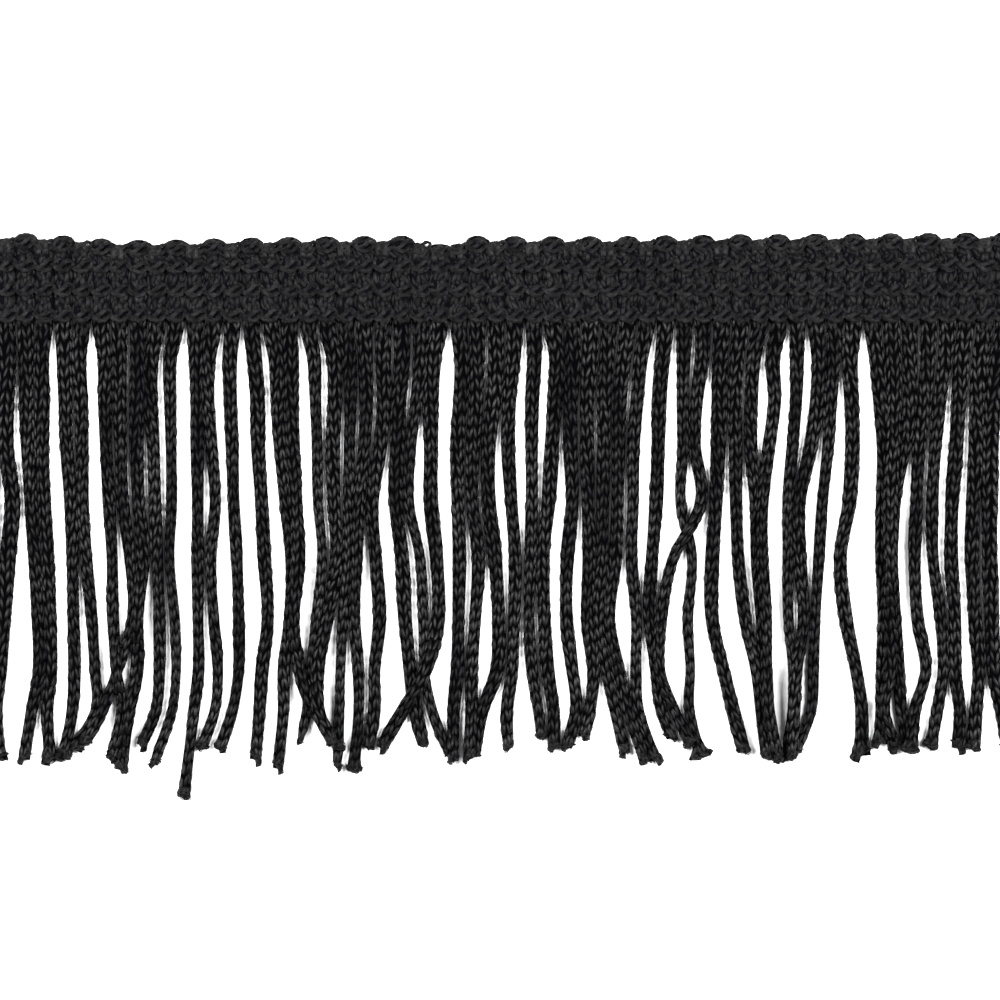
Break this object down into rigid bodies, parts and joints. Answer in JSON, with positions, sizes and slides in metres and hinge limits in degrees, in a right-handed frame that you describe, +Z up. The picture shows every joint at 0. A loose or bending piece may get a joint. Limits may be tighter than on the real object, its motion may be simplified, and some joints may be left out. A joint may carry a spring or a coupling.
{
  "type": "chainette fringe",
  "caption": "Cut length of narrow chainette fringe: a crocheted heading with a picot edge, and knitted rayon strands that hang from each of its stitches.",
  "frame": {"origin": "under the middle of the whole cut, on the surface that it lies on", "axes": "+X along the heading, +Y towards the picot edge, strands towards -Y, +Z up out of the surface"},
  "size_m": [0.1016, 0.0554, 0.0034],
  "materials": {
    "crocheted_heading": "black rayon yarn, crocheted, soft sheen",
    "chainette_strands": "black rayon yarn, knitted into chainette, soft sheen"
  },
  "bodies": {
    "root": {"heading": "crocheted_heading", "fringe": "chainette_strands"}
  },
  "joints": []
}
